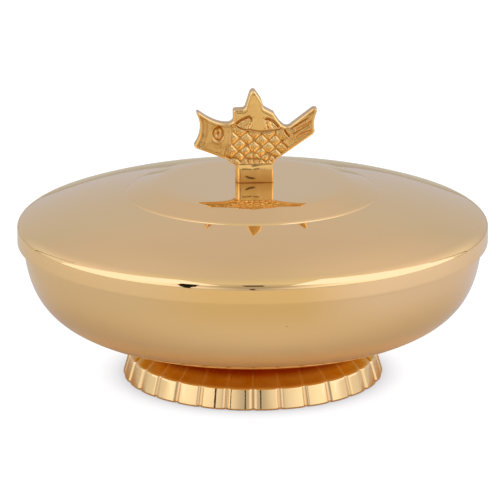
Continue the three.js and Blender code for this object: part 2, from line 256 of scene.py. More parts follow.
def for_camera(tree, seen, otherwise, out):
    """One shader for what the camera sees, and another for every other ray."""
    path = tree.nodes.new("ShaderNodeLightPath")
    pick = tree.nodes.new("ShaderNodeMixShader")
    tree.links.new(path.outputs["Is Camera Ray"], pick.inputs[0])
    tree.links.new(otherwise, pick.inputs[1])
    tree.links.new(seen, pick.inputs[2])
    tree.links.new(pick.outputs[0], out.inputs[0])


def metal(name):
    """A new metal: its material, node tree and shader, and the object's own coordinates."""
    m, tree = material(name)
    out = tree.nodes.new("ShaderNodeOutputMaterial")
    shader = tree.nodes.new("ShaderNodeBsdfPrincipled")
    shader.inputs["Metallic"].default_value = 1.0
    tree.links.new(shader.outputs[0], out.inputs[0])
    return m, tree, shader, tree.nodes.new("ShaderNodeTexCoord").outputs["Object"]


def add_bump(tree, shader, height, strength, distance):
    bump = tree.nodes.new("ShaderNodeBump")
    feed(tree, bump.inputs["Strength"], strength)
    bump.inputs["Distance"].default_value = distance
    tree.links.new(height, bump.inputs["Height"])
    tree.links.new(bump.outputs[0], shader.inputs["Normal"])


GOLD = (1.0, 0.690, 0.310, 1.0)
GOLD_WARM = (0.96, 0.600, 0.230, 1.0)
# FLUTE_DEEP is the foot's painted reflection and shade tone, FLUTE_SHADOW its painted shadow colour.
FLUTE_DEEP = (0.80, 0.38, 0.005, 1.0)
FLUTE_SHADOW = (0.34, 0.03, 0.005, 1.0)
CAST_GOLD = (1.0, 0.655, 0.24, 1.0)
# CAST_DEEP is the finial's painted shade tone, CAST_SHADOW its painted shadow colour.
CAST_DEEP = (0.52, 0.20, 0.02, 1.0)
CAST_SHADOW = (0.12, 0.05, 0.01, 1.0)
BRASS = (0.80, 0.56, 0.25, 1.0)
BRASS_TARNISH = (0.50, 0.31, 0.12, 1.0)


def shell_gold():
    """Spun sheet, gold plated and polished, with faint turning lines, hazy patches and a few specks."""
    m, tree, shader, where = metal("polished_gold")
    place, radius = split_place(tree, where)
    rings = tree.nodes.new("ShaderNodeCombineXYZ")
    tree.links.new(radius, rings.inputs[0])
    tree.links.new(place[2], rings.inputs[1])
    fine = noise(tree, rings.outputs[0], 2600, 3.0, 0.6)
    wide = noise(tree, rings.outputs[0], 120, 1.0)
    haze = noise(tree, where, 38, 4.0, 0.6)
    cloud = noise(tree, where, 11, 2.0)
    speck = tree.nodes.new("ShaderNodeTexVoronoi")
    speck.inputs["Scale"].default_value = 55
    tree.links.new(where, speck.inputs["Vector"])
    spot = map_range(tree, speck.outputs["Distance"], 0.018, 0.03, 1.0, 0.0)
    tone = math_node(tree, "MULTIPLY", map_range(tree, cloud, 0.35, 0.65, 0.0, 1.0, True), 0.16)
    tone = math_node(tree, "ADD", tone, math_node(tree, "MULTIPLY", spot, 0.7), clamp=True)
    tree.links.new(mix_colour(tree, tone, GOLD, GOLD_WARM), shader.inputs["Base Color"])
    rough = map_range(tree, haze, 0.3, 0.75, 0.028, 0.075, True)
    rough = math_node(tree, "ADD", rough, map_range(tree, fine, 0.35, 0.7, 0.0, 0.022))
    rough = math_node(tree, "ADD", rough, math_node(tree, "MULTIPLY", spot, 0.25))
    tree.links.new(rough, shader.inputs["Roughness"])
    height = math_node(tree, "ADD", math_node(tree, "MULTIPLY", fine, 0.12), wide)
    add_bump(tree, shader, height, 0.6, 0.000006)
    return m


def worn_gold_with_painted_shade(name, colour, deep, shadow, rough_low, rough_high, grain_scale, grain_depth):
    """Gold with a painted deeper tone (painted shade in grooves and recesses, painted reflection on the
    foot's slope) and a painted dark shadow colour, smoother where it is polished.
    """
    m, tree, shader, where = metal(name)
    polish = attribute(tree, "polish")
    matt = math_node(tree, "SUBTRACT", 1.0, polish)
    patches = noise(tree, where, 160, 4.0, 0.6)
    grain = noise(tree, where, grain_scale, 4.0, 0.65)
    uneven = map_range(tree, patches, 0.3, 0.7, 0.65, 1.0)
    # The deeper tone is painted shade and painted reflection, set point by point by each mesh.
    share = math_node(tree, "MULTIPLY", attribute(tree, "painted_deep_tone"), uneven)
    share = math_node(tree, "ADD", share, map_range(tree, patches, 0.45, 0.8, 0.0, 0.1), clamp=True)
    tone = mix_colour(tree, share, colour, deep)
    # The dark colour is painted shadow and painted dark reflection, set point by point by each mesh.
    shadowed = math_node(tree, "MULTIPLY", attribute(tree, "painted_dark"), 0.95)
    tree.links.new(mix_colour(tree, shadowed, tone, shadow), shader.inputs["Base Color"])
    rough = map_range(tree, grain, 0.3, 0.7, rough_low, rough_high)
    rough = math_node(tree, "ADD", rough, math_node(tree, "MULTIPLY", share, 0.12))
    rough = math_node(tree, "MULTIPLY", rough, matt)
    rough = math_node(tree, "ADD", rough, math_node(tree, "MULTIPLY", polish, 0.055))
    tree.links.new(rough, shader.inputs["Roughness"])
    add_bump(tree, shader, grain, math_node(tree, "MULTIPLY", matt, 0.5), grain_depth)
    return m


def turned_brass():
    """Satin turned brass of the hidden screws and nuts, with tool lines and a little tarnish."""
    m, tree, shader, where = metal("fastener")
    tarnish = noise(tree, where, 240, 5.0, 0.7)
    lines = tree.nodes.new("ShaderNodeTexWave")
    lines.wave_type = "RINGS"
    lines.rings_direction = "Z"
    lines.inputs["Scale"].default_value = 900
    lines.inputs["Distortion"].default_value = 1.5
    tree.links.new(where, lines.inputs["Vector"])
    share = map_range(tree, tarnish, 0.4, 0.75, 0.0, 0.8)
    tree.links.new(mix_colour(tree, share, BRASS, BRASS_TARNISH), shader.inputs["Base Color"])
    tree.links.new(map_range(tree, tarnish, 0.3, 0.8, 0.26, 0.44), shader.inputs["Roughness"])
    add_bump(tree, shader, lines.outputs["Fac"], 0.35, 0.00002)
    return m


polished = shell_gold()
fluted = worn_gold_with_painted_shade("fluted_gold", GOLD, FLUTE_DEEP, FLUTE_SHADOW, 0.035, 0.07, 900, 0.000006)
cast = worn_gold_with_painted_shade("cast_gold", CAST_GOLD, CAST_DEEP, CAST_SHADOW, 0.10, 0.20, 1500, 0.00003)
brass = turned_brass()

# Lid shell

LID_RADIUS = high("lid_shell")[0]
LID_Z = low("lid_shell")[2]
LID_TOP_Z = high("lid_shell")[2]
SKIRT_HEIGHT = 5.5
SHOULDER_WIDTH = 3.7
HEM = 0.18
SHOULDER = np.array((LID_RADIUS - 2.4, 8.14))
CONE_ROOT = np.array((45.7, SHOULDER[1] + 9.46))
OUTER_PULL = np.array((-0.325, 0.47))
INNER_PULL = np.array((0.49, -0.34))
LIP_TOP = CONE_ROOT + (-0.3, 0.35)
SHELF_TOP = LIP_TOP + (-9.6, 2.75)
FLAT_EDGE = SHELF_TOP + (-9.8, 0.74)
LID_HOLE = 1.8
LONGEST_STEP = 0.9
TURNS = 300


def lid_profile():
    size = np.array((SHOULDER[0] - CONE_ROOT[0], CONE_ROOT[1] - SHOULDER[1]))
    outer, inner = OUTER_PULL * size, INNER_PULL * size
    cone = bezier([SHOULDER, SHOULDER + outer, CONE_ROOT + inner, CONE_ROOT], 90)
    cone = cone[cone[:, 0] < LID_RADIUS - SHOULDER_WIDTH]
    slope = (cone[1, 1] - cone[0, 1]) / (cone[0, 0] - cone[1, 0])
    corner = (LID_RADIUS, cone[0, 1] - (LID_RADIUS - cone[0, 0]) * slope)
    shoulder = bezier([(LID_RADIUS, SKIRT_HEIGHT), corner, cone[0]], 40)
    along_shelf = (SHELF_TOP - LIP_TOP) / (LIP_TOP[0] - SHELF_TOP[0])
    lip = bezier([CONE_ROOT, LIP_TOP - 0.05 * along_shelf, LIP_TOP + 1.4 * along_shelf], 20)
    back = cone[-2] - cone[-1]
    root = bezier([cone[-1] + 0.22 * back / np.linalg.norm(back), CONE_ROOT, lip[3]], 6)
    bend_corner = SHELF_TOP + along_shelf * (FLAT_EDGE - SHELF_TOP)[1] / along_shelf[1]
    bend = bezier([SHELF_TOP, bend_corner, FLAT_EDGE], 40)
    hole = (LID_HOLE, FLAT_EDGE[1])
    outside = joined([(LID_RADIUS, HEM)], shoulder, cone[:-1], root, lip[4:], bend, [hole])
    plain = joined([(LID_RADIUS, 0.0)], shoulder, cone, [LIP_TOP], bend, [hole])
    inside = resampled(shifted(plain, SHEET), LONGEST_STEP)
    inside[:, 1] = np.maximum(inside[:, 1], HEM)
    hem = joined(
        arc((LID_RADIUS - SHEET + HEM, HEM), HEM, 180, 270, 5),
        arc((LID_RADIUS - HEM, HEM), HEM, 270, 360, 5),
    )
    loop = joined(hem, resampled(outside, LONGEST_STEP), inside[::-1])
    loop[:, 1] += LID_Z
    return loop


lid_verts, lid_faces = spin(lid_profile(), TURNS)
new_piece("lid_skin", lid_verts, lid_faces, polished, "lid", "polished_gold", ["lid_shell"])

# Bowl shell

BOWL_RIM_RADIUS = high("bowl_shell")[0]
RIM_Z = high("bowl_shell")[2]
FOOT_HEIGHT = low("bowl_shell")[2]
FLAT_RADIUS = 31.5
LOWER_PULL = (39.2, 1.2)
UPPER_PULL = (-0.8, -28.3)
BEAD = 1.4


def bowl_profile():
    bead_z = RIM_Z - BEAD
    start = np.array((FLAT_RADIUS, FOOT_HEIGHT))
    end = np.array((BOWL_RIM_RADIUS, bead_z - BEAD))
    floor = resampled(np.array([(0.0, FOOT_HEIGHT), start]), 1.5)
    outside = joined(floor, bezier([start, start + LOWER_PULL, end + UPPER_PULL, end], 110))
    bead = arc((BOWL_RIM_RADIUS - BEAD, bead_z), BEAD, 0, 245, 30)
    inside = shifted(outside, SHEET)
    inside[0, 0] = 0.0
    inside = inside[inside[:, 1] < bead_z - 1.9]
    return joined(outside, bead, inside[::-1])


bowl_verts, bowl_faces = spin(bowl_profile(), TURNS)
new_piece("bowl_skin", bowl_verts, bowl_faces, polished, "bowl", "polished_gold", ["bowl_shell"])

# Fluted foot

FLUTES = 30
FOOT_RADIUS = high("foot_ring")[0]
PER_FLUTE = 28
CREST_CROWN = 0.34
GROOVE_DEPTH = 0.90
GROOVE_HALF = 0.42
GROOVE_WALL = 0.72
BAND_TOP = (FOOT_RADIUS - 2, 7.3)
BAND_PULL = (FOOT_RADIUS - 0.78, 3.3)
HEM_ROUND = 0.5
NECK = (35.0, FOOT_HEIGHT)
FOOT_WALL = 2.5
WEB = 1.6
WEB_HOLE = 2.8


def flute_drop(e, half_pitch):
    """How far the surface lies inside the crest at a distance from a groove's middle."""
    crown = CREST_CROWN * ((half_pitch - e) / half_pitch) ** 2
    wall = smoothstep(GROOVE_HALF, GROOVE_HALF + GROOVE_WALL, e)
    bottom = GROOVE_DEPTH - 0.12 * np.clip(1 - e / GROOVE_HALF, 0, 1) ** 2
    return bottom + (crown - bottom) * wall


def foot_mesh():
    corner, neck = np.array(BAND_TOP), np.array(NECK)
    band = bezier([(FOOT_RADIUS, HEM_ROUND), BAND_PULL, corner], 24)
    down = (band[-2] - corner) / np.linalg.norm(band[-2] - corner)
    along = (neck - corner) / np.linalg.norm(neck - corner)
    slope_start = corner + along * 0.6
    crest = joined(
        arc((FOOT_RADIUS - HEM_ROUND, HEM_ROUND), HEM_ROUND, -90, 0, 8),
        band[band[:, 1] < corner[1] - 0.7],
        bezier([corner + down * 0.6, corner, slope_start], 10),
        resampled(np.array([slope_start, neck]), 0.5),
    )
    crest = resampled(crest, 0.5)
    length = np.concatenate([[0], np.cumsum(np.linalg.norm(np.diff(crest, axis=0), axis=1))])
    start = length[np.argmin(np.abs(crest[:, 1] - slope_start[1]))]
    weight = 1 - np.clip((length - start) / (length[-1] - start), 0, 1)
    weight *= np.clip(crest[:, 1] / 0.25, 0.75, 1)
    inner = shifted(joined([(FOOT_RADIUS, 0)], band, [neck]), FOOT_WALL)
    web = FOOT_HEIGHT - WEB
    inner = inner[inner[:, 1] < web]
    slope = inner[-1] - inner[-2]
    edge = inner[-1] + slope * (web - inner[-1, 1]) / slope[1]
    hollow_side = joined(inner, [edge], [(WEB_HOLE, web)])[::-1]
    rows = [(r, z, w) for (r, z), w in zip(crest, weight)]
    rows += [(20.0, FOOT_HEIGHT, 0), (WEB_HOLE, FOOT_HEIGHT, 0)]
    rows += [(r, z, 0) for r, z in hollow_side]
    rows = np.array(rows)
    columns = FLUTES * PER_FLUTE
    pitch = 2 * math.pi / FLUTES
    half_pitch = FOOT_RADIUS * pitch / 2
    share = np.arange(columns) / PER_FLUTE
    e = half_pitch * (1 - np.abs(2 * (share % 1) - 1))
    drop = flute_drop(e, half_pitch)
    angle = share * pitch - math.pi / 2
    r = rows[None, :, 0] - drop[:, None] * rows[None, :, 2]
    verts = np.stack(
        [r * np.cos(angle)[:, None], r * np.sin(angle)[:, None], np.broadcast_to(rows[:, 1], r.shape)], -1
    ).reshape(-1, 3)
    faces = []
    n = len(rows)
    for i in range(columns):
        nxt = (i + 1) % columns
        for j in range(n):
            up = (j + 1) % n
            faces.append((i * n + j, nxt * n + j, nxt * n + up, i * n + up))
    # Painted light: a painted shade line at the hem; the slope's deep tone is painted reflection of the
    # bowl's underside, lighter along each groove; painted shadow on the slope under the bowl and deep in the
    # grooves.
    depth = np.clip((drop[:, None] - 0.36) / 0.5, 0, 1) * np.clip(rows[None, :, 2], 0, 1)
    hem = np.exp(-(rows[None, :, 1] / 0.22)) * (rows[None, :, 0] > 40)
    slope = smoothstep(7.2, 8.2, rows[None, :, 1]) * (rows[None, :, 0] > 34) * (rows[None, :, 2] > 0)
    cut = bell(e, 0.5)[:, None]
    painted_deep_tone = np.clip(0.35 * hem + (1.0 - 0.60 * cut) * slope, 0, 1)
    inner_part = smoothstep(FOOT_RADIUS - 4.8, FOOT_RADIUS - 7.6, rows[None, :, 0])
    painted_dark = (0.08 + 0.84 * inner_part) * slope + 0.28 * depth**1.5 * (1 - slope)
    return verts, faces, painted_deep_tone.ravel(), np.clip(painted_dark, 0, 1).ravel()


foot_verts, foot_faces, foot_painted_deep_tone, foot_painted_dark = foot_mesh()
foot = new_piece("foot_skin", foot_verts, foot_faces, fluted, "bowl", "polished_gold", ["foot_ring"])
set_float(foot, "painted_deep_tone", foot_painted_deep_tone)
set_float(foot, "painted_dark", foot_painted_dark)

# Fish finial, drawn as (x from the stud, height above the fish's underside)

POST_HEIGHT = 6.5
HALF_THICK = 2.7
LOAF_RAISE = 0.3
EDGE_WIDTH = 0.55
EDGE_DEPTH = 0.75
EDGE_INSET = 0.25
TURN = math.radians(3)
POST_LEAN = 0.14

# Each curve starts where the one before it ends: a straight line to one point, or a bend with its pull.
OUTLINE_START = (-6.7, 0)
OUTLINE = [
    [(7.4, 0)], [(8.1, 1.4)], [(21.3, 10.6)], [(22.6, 11.5), (22.2, 13.2)],
    [(21.7, 15.9), (23.1, 19.2)], [(23.5, 20.7), (22.4, 20.8)], [(21.8, 20.9), (21, 20.3)],
    [(14.2, 15.1)], [(13.2, 14.1), (12.1, 14.2)], [(10.5, 14.4), (8.4, 17.8)], [(7.6, 19.3)],
    [(4.7, 20.9)], [(4, 21.2), (3.7, 22.3)], [(3.5, 24), (1.6, 26.5)], [(0.3, 28.9), (-1, 26.8)],
    [(-2.5, 22)], [(-2.8, 21), (-3.6, 20.9)], [(-6.1, 20.8)], [(-7, 20.7), (-7, 19.9)],
    [(-7, 17.2)], [(-7.2, 15.9), (-8.7, 15.7)], [(-13.1, 15.3), (-19.3, 20)],
    [(-20.4, 20.4), (-20.1, 19)], [(-17.3, 13.4), (-20.8, 8)], [(-21.4, 6.9), (-20.1, 6.2)],
    [(-9.6, 2.1)], [(-6.7, 0)],
]


def outline_points(step):
    runs, here = [], OUTLINE_START
    for curve in OUTLINE:
        run = [here, *curve]
        runs.append(bezier(run, 12) if len(run) == 3 else np.array(run, float))
        here = curve[-1]
    line = resampled(joined(*runs), step)
    line = line[:-1] if math.dist(line[0], line[-1]) < 1e-3 else line
    inward = inward_from(line)
    return line + inward * EDGE_INSET * np.abs(inward[:, 1:])


def inward_from(line):
    following = np.roll(line, -1, axis=0) - np.roll(line, 1, axis=0)
    following /= np.linalg.norm(following, axis=1)[:, None]
    return np.stack([-following[:, 1], following[:, 0]], 1)


def smooth_line(points, steps=8):
    """A soft curve through points."""
    p = np.array(points, float)
    p = np.vstack([2 * p[0] - p[1], p, 2 * p[-1] - p[-2]])
    t = np.linspace(0, 1, steps + 1)[:-1, None]
    out = []
    for a, b, c, d in zip(p[:-3], p[1:-2], p[2:-1], p[3:]):
        bend = (2 * a - 5 * b + 4 * c - d) * t**2 + (3 * b - a - 3 * c + d) * t**3
        out.append(0.5 * (2 * b + (c - a) * t + bend))
    return np.vstack([*out, p[-2:-1]])


def distance_to(points, line, closed=False):
    """Distance of each point from a line, and on which side of it (positive to the left)."""
    a = np.asarray(line, float)
    b = np.roll(a, -1, axis=0) if closed else a[1:]
    a = a if closed else a[:-1]
    best = np.full(len(points), 1e9)
    side = np.zeros(len(points))
    for p, q in zip(a, b):
        d = q - p
        t = np.clip(((points - p) @ d) / (d @ d), 0, 1)
        gap = points - (p + t[:, None] * d)
        dist = np.hypot(gap[:, 0], gap[:, 1])
        nearer = dist < best
        best[nearer] = dist[nearer]
        side[nearer] = np.sign(d[0] * gap[:, 1] - d[1] * gap[:, 0])[nearer]
    return best, side


def within(points, polygon):
    x, y = points[:, 0], points[:, 1]
    inside = np.zeros(len(points), bool)
    q = polygon[-1]
    for p in polygon:
        crosses = (p[1] > y) != (q[1] > y)
        if crosses.any() and p[1] != q[1]:
            at = (q[0] - p[0]) * (y - p[1]) / (q[1] - p[1]) + p[0]
            inside ^= crosses & (x < at)
        q = p
    return inside


def depth_in(points, polygon):
    """Distance inside a closed outline, negative outside."""
    dist, _ = distance_to(points, polygon, closed=True)
    return np.where(within(points, polygon), dist, -dist)


def ripples(points, length, seed, waves=14):
    """Smooth random waves of about one length, between -1 and 1."""
    rng = np.random.default_rng(seed)
    total = np.zeros(len(points))
    for _ in range(waves):
        a = rng.uniform(0, 2 * math.pi)
        k = 2 * math.pi / (length * rng.uniform(0.7, 1.5))
        total += np.sin(points @ np.array((math.cos(a), math.sin(a))) * k + rng.uniform(0, 2 * math.pi))
    return total / math.sqrt(waves) / 1.5


LEFT_ARC = [(-6.6, 15.5), (-5.6, 16.6), (-3.9, 17.7), (-2.2, 18.4), (-1.1, 18.6), (-0.2, 17.8)]
RIGHT_ARC = [(4.25, 17.6), (5.3, 17.8), (6.7, 17.3), (8.15, 16.3), (9.4, 15.0), (9.85, 14.1)]
LOBE_SIDES = (
    [(-0.35, 17.3), (-0.65, 15.9), (-1.1, 14.9), (-1.6, 13.9)],
    [(5.0, 17.0), (5.1, 15.6), (5.5, 14.0)],
)
LEFT_LOBE = joined(
    smooth_line(LEFT_ARC),
    smooth_line([(-0.2, 17.8), (-0.4, 15.9), (-0.8, 14.9), (-1.3, 13.9)]),
    smooth_line([(-1.3, 13.9), (-3.2, 13.7), (-4.6, 14.5), (-6.6, 15.5)]),
)[:-1]
RIGHT_LOBE = joined(
    smooth_line([(4.95, 13.6), (4.6, 14.6), (4.3, 15.8), (4.25, 17.6)]),
    smooth_line(RIGHT_ARC),
    smooth_line([(9.85, 14.1), (8.4, 13.6), (6.9, 13.4), (4.95, 13.6)]),
)[:-1]
LOAF = joined(
    smooth_line([
        (-8.6, 15.6), (-6.6, 15.2), (-4.6, 14.2), (-3.0, 13.5), (-1.5, 13.6), (-0.2, 13.2),
        (1.8, 12.8), (4.2, 12.8), (6.5, 13.0), (9.0, 13.3), (11.0, 14.2),
    ]),
    [(13.0, 17.0), (8.0, 31.0), (-8.5, 31.0)],
)
SCALES = joined(
    smooth_line([
        (-7.7, 14.5), (-7.4, 12.6), (-7.5, 10.2), (-7.7, 8.3), (-8.8, 6.4), (-9.9, 4.8), (-10.2, 3.0),
    ]),
    [(-6.0, -0.6), (8.6, -0.6), (12.5, 6.2), (10.9, 7.9), (11.7, 9.3), (13.0, 10.5)],
    smooth_line([(13.0, 10.5), (12.1, 11.7), (11.4, 12.7), (9.9, 13.1)]),
    smooth_line([
        (9.9, 13.1), (8.0, 12.7), (5.0, 12.2), (1.8, 12.1), (-1.0, 12.5), (-3.0, 13.0),
        (-5.5, 14.1), (-7.7, 14.5),
    ]),
)[:-1]
PADS = np.array([
    (-4.5, 12.7), (-2.1, 10.2), (0.7, 11.6), (3.2, 9.2), (5.6, 11.7), (8.0, 8.8), (10.7, 11.3),
    (-7.1, 10.1), (-4.7, 7.6), (0.6, 6.6), (5.9, 6.7), (10.4, 6.6),
    (-7.6, 5.6), (-2.6, 5.2), (2.7, 4.5), (8.0, 4.0),
    (-4.6, 2.9), (-0.8, 3.2), (1.2, 3.0), (4.4, 2.5), (7.1, 2.2),
    (-5.6, 1.3), (-2.9, 1.3), (-0.7, 1.5), (1.3, 1.5), (3.3, 1.0), (5.9, 1.0),
])
PAD_AXES = np.linalg.inv(np.array([(2.7, 2.65), (-2.75, 2.3)]))
LIP_LINE = [
    (-18.9, 18.9), (-17.0, 17.5), (-16.4, 15.8), (-16.3, 14.1), (-16.5, 12.1), (-17.1, 10.1), (-17.3, 8.7),
    (-18.2, 7.4),
]
GILL_LINE = [(-8.0, 15.0), (-7.7, 12.6), (-7.8, 10.2), (-8.0, 8.3), (-9.1, 6.4), (-10.2, 4.8), (-10.6, 3.2)]
EYE = np.array((-12.45, 11.8))
EYE_SIZE = np.array((1.95, 2.6))
FOLD_LINE = [(-8.7, 12.4), (-8.7, 10.8), (-9.0, 8.2), (-9.7, 6.2)]
TAIL_RIBS = (
    ([(13.7, 13.4), (15.8, 14.6), (18.0, 16.0), (19.9, 17.1)], 1.0),
    ([(15.7, 13.0), (17.4, 14.1), (20.8, 16.0)], 0.8),
    ([(14.5, 11.4), (17.4, 13.0), (20.2, 14.8)], 0.9),
    ([(15.5, 10.3), (17.4, 11.6), (20.8, 12.9)], 0.8),
    ([(14.8, 9.2), (16.8, 10.2), (20.8, 12.2)], 0.6),
    ([(20.0, 18.7), (21.5, 19.4)], 0.6),
)


def near(points, line, width):
    """One on a soft curve through the line's points, falling away over the width."""
    return bell(distance_to(points, smooth_line(line))[0], width)


def scale_pads(points):
    """Height of the scales' pads over their grooves, and how deep each point lies in a groove."""
    offset = points[:, None, :] - PADS[None, :, :]
    offset += 0.12 * np.stack([ripples(points, 4.0, 11), ripples(points, 4.0, 12)], -1)[:, None, :]
    along = np.abs(offset @ PAD_AXES.T)
    reach = np.sort(np.sum(along**4, axis=-1) ** 0.25, axis=1)
    gap = (reach[:, 1] - reach[:, 0]) * 1.85
    dome = 0.34 * (1 - bell(gap, 0.50)) + 0.16 * (1 - bell(gap, 1.5))
    return dome, bell(gap, 0.30)


def relief(points, edge):
    """Half thickness of the fish at points, its share of the painted deeper tone (painted shade, mostly in
    grooves and recesses) and how polished it is.
    """
    x, z = points[:, 0], points[:, 1]
    # The deeper tone is painted shade along grooves, lines, the eye, mouth and recesses; the head and tail
    # also take a little of it all over.
    painted_deep_tone = 0.24 * smoothstep(-7.5, -8.5, x) + 0.28 * smoothstep(12.0, 14.0, x)
    face = HALF_THICK - 0.10 + 0.10 * smoothstep(1.0, 6.0, edge)

    # Loaf and flame stand a little above the fish
    loaf = depth_in(points, LOAF)
    face += (LOAF_RAISE + 0.06) * smoothstep(-0.10, 0.25, loaf)
    line = bell(loaf + 0.22, 0.24) * (edge > 0.9) * smoothstep(-7.6, -6.2, x)
    face -= 0.30 * line
    painted_deep_tone += 0.95 * line
    below = bell(loaf + 1.05, 0.22) * (edge > 1.0)
    below *= smoothstep(-3.2, -1.4, x) * smoothstep(9.5, 7.0, x)
    face -= 0.10 * below
    painted_deep_tone += 0.30 * below
    bevel = bell(edge - 1.05, 0.20) * np.where(loaf > 0.3, 1.0, 0.7)
    face -= 0.05 * bevel
    painted_deep_tone += 0.32 * bevel
    for lobe, top_arc in ((LEFT_LOBE, LEFT_ARC), (RIGHT_LOBE, RIGHT_ARC)):
        inside = smoothstep(-0.05, 0.25, depth_in(points, lobe))
        from_top = distance_to(points, smooth_line(top_arc))[0]
        lid = smoothstep(0.0, 0.25, from_top) * smoothstep(1.15, 0.70, from_top)
        face += inside * (0.10 * ripples(points, 1.0, 5) - 0.16 - 0.62 * lid)
        painted_deep_tone += inside * (0.95 * lid + 0.18 * smoothstep(0.2, 0.8, ripples(points, 0.9, 6)))
    for line in LOBE_SIDES:
        side = near(points, line, 0.24)
        face -= 0.26 * side
        painted_deep_tone += 0.60 * side
    for crest, width, height in (
        ([(0.15, 17.8), (0.0, 15.9), (-0.4, 14.9), (-0.9, 13.9)], 0.28, 0.10),
        ([(4.5, 13.9), (4.15, 15.0), (3.9, 16.2), (3.85, 17.5)], 0.28, 0.10),
        ([(5.5, 17.1), (6.0, 15.6), (6.7, 13.9)], 0.32, 0.34),
    ):
        face += height * near(points, crest, width)
    dot = bell(np.hypot(x - 5.6, z - 13.9), 0.42)
    face -= 0.25 * dot
    painted_deep_tone += dot
    for mark in ([(-4.7, 20.15), (-4.1, 20.2), (-3.5, 20.15)], [(0.45, 26.4), (0.65, 26.3), (0.85, 26.2)]):
        dash = near(points, mark, 0.17)
        face -= 0.12 * dash
        painted_deep_tone += 0.9 * dash

    # Head
    lip, lip_side = distance_to(points, smooth_line(LIP_LINE))
    mouth = (lip_side < 0) & (x < -15.5)
    face -= np.where(mouth, 0.30 * lip, 0.0)
    line = bell(lip, 0.30)
    face -= 0.14 * line
    painted_deep_tone += 0.45 * line + np.where(mouth, 0.25 * smoothstep(0.0, 1.2, lip), 0.0)
    across, up = ((points - EYE) / EYE_SIZE).T
    eye = np.hypot(across, up)
    turned = np.cos(np.arctan2(up, across) - math.radians(50))
    heavy = 0.5 + 0.5 * turned
    groove = bell(eye - 0.88, 0.15 + 0.09 * heavy)
    boss = bell(eye - 0.52, 0.15)
    pupil = bell(np.hypot(x + 12.6, (z - 12.0) / 1.1), 0.62)
    brow = bell(eye - 1.27, 0.15) * (0.6 - 0.4 * turned)
    face += 0.16 * boss - (0.32 + 0.16 * heavy) * groove - 0.34 * pupil + 0.12 * brow
    painted_deep_tone += (0.70 + 0.30 * heavy) * groove + pupil
    gill, gill_side = distance_to(points, smooth_line(GILL_LINE))
    cover = bell(gill, 0.55) * (x < -6)
    face += np.where(gill_side < 0, 0.12 * cover, -0.32 * bell(gill, 0.32))
    painted_deep_tone += np.where(gill_side > 0, 0.85, 0.35) * bell(gill, 0.34)
    fold = near(points, FOLD_LINE, 0.30)
    face -= 0.10 * fold
    painted_deep_tone += 0.25 * fold

    # Scales
    field = depth_in(points, SCALES)
    inside = smoothstep(-0.10, 0.35, field)
    pads, cuts = scale_pads(points)
    stipple = 0.055 * ripples(points, 0.8, 21) * (1 - cuts)
    face += inside * (pads - 0.44 + stipple)
    painted_deep_tone += inside * 0.95 * cuts
    border = bell(field + 0.02, 0.22) * (loaf < -0.2) * (x > -7.0)
    face -= 0.12 * border
    painted_deep_tone += 0.40 * border

    # Tail
    for root, width, depth in (
        ([(11.4, 12.9), (12.1, 11.7), (13.1, 10.5)], 0.34, 0.40),
        ([(10.7, 8.2), (11.7, 7.3), (12.6, 6.2)], 0.32, 0.36),
    ):
        line = near(points, root, width)
        crest = near(points, [(p[0] - 0.45, p[1] - 0.38) for p in root], 0.28)
        face += 0.16 * crest - depth * line
        painted_deep_tone += 0.9 * line
    for rib, strength in TAIL_RIBS:
        line = near(points, rib, 0.27) * strength
        crest = near(points, [(p[0] - 0.35, p[1] + 0.55) for p in rib], 0.30) * strength
        face += 0.12 * crest - 0.40 * line
        painted_deep_tone += 0.9 * line

    # Hand-finished unevenness
    face += 0.022 * ripples(points, 5.0, 31) + 0.010 * ripples(points, 1.6, 32)

    # Rounded edge
    on_loaf = smoothstep(0.0, 0.5, loaf)
    width, drop = EDGE_WIDTH + 0.1 * on_loaf, EDGE_DEPTH + 0.2 * on_loaf
    a = np.clip(edge / width, 0, 1)
    fall = drop * (1 - np.sqrt(np.clip(1 - (1 - a) ** 2, 0, 1)))
    soft = smoothstep(0.15, 0.8, edge)
    bare = HALF_THICK - 0.12 + LOAF_RAISE * smoothstep(-0.10, 0.25, loaf)
    half = bare * (1 - soft) + face * soft - fall
    lobes = np.maximum(depth_in(points, LEFT_LOBE), depth_in(points, RIGHT_LOBE))
    polish = 0.85 * smoothstep(0.1, 0.5, loaf) * smoothstep(0.3, 0.0, lobes)
    polish = np.maximum(polish, 0.5 * smoothstep(1.0, 0.2, edge))
    return half, np.clip(painted_deep_tone * smoothstep(0.3, 0.8, edge), 0, 1), polish


